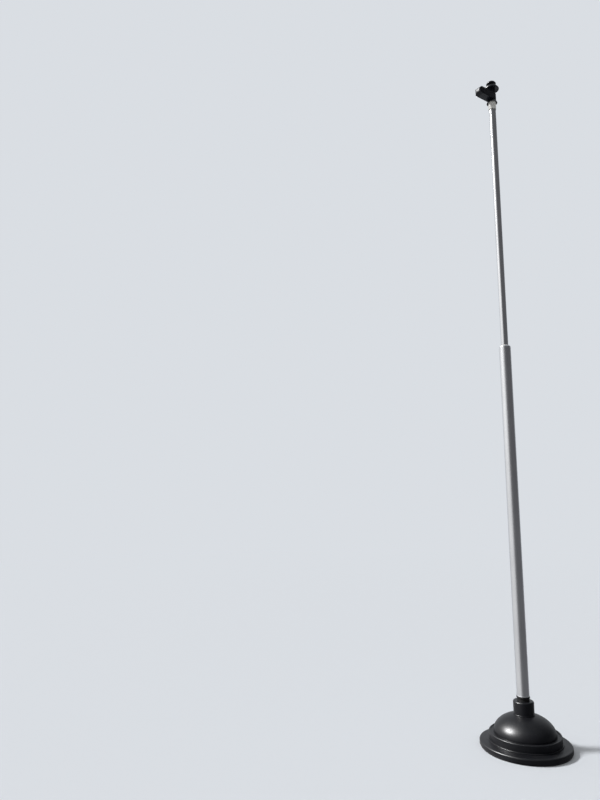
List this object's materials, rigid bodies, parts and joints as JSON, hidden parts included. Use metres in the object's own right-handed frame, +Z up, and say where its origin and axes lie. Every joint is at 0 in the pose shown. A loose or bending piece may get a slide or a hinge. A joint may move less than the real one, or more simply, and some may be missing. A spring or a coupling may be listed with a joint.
{
  "type": "portable flagpole",
  "caption": "Free-standing portable flagpole: weighted dome base, telescoping round tube mast and a turning head with a flag arm and a domed finial.",
  "frame": {"origin": "centre of the base's foot, on the ground", "axes": "+Z up along the mast; the head's arm points to -X at rest"},
  "size_m": [0.3659, 0.366, 3],
  "materials": {
    "base_plastic": "black, semi-gloss moulded",
    "concrete": "cast, rough, grey",
    "collar_plastic": "black, satin moulded",
    "plug_plastic": "black, matt moulded",
    "satin_aluminium": "drawn tube, satin anodised silver",
    "bright_aluminium": "drawn tube, bright silver",
    "pale_nylon": "pale natural nylon",
    "seal_rubber": "black",
    "pin_steel": "turned",
    "head_plastic": "black, satin moulded"
  },
  "bodies": {
    "base": {"base_shell": "base_plastic", "ballast": "concrete", "collar": "collar_plastic", "foot_plug": "plug_plastic", "lower_tube": "satin_aluminium", "guide_bush": "pale_nylon"},
    "mast": {"upper_tube": "bright_aluminium", "tail_bush": "plug_plastic", "lock_sleeve": "pale_nylon", "lock_pin": "plug_plastic", "neck_seal": "seal_rubber", "neck_bush": "pale_nylon", "swivel_pin": "pin_steel"},
    "head": {"head_skirt": "head_plastic", "head_housing": "head_plastic", "arm_cap": "head_plastic", "finial_disk": "head_plastic", "finial_knob": "head_plastic"}
  },
  "joints": [
    {"name": "mast_slide", "type": "slide", "parent": "base", "child": "mast", "axis": [0, 0, 1], "range_m": [-1.14, 0]},
    {"name": "head_swivel", "type": "hinge", "parent": "mast", "child": "head", "pos_m": [0, 0, 2.894], "axis": [0, 0, 1], "continuous": true}
  ]
}
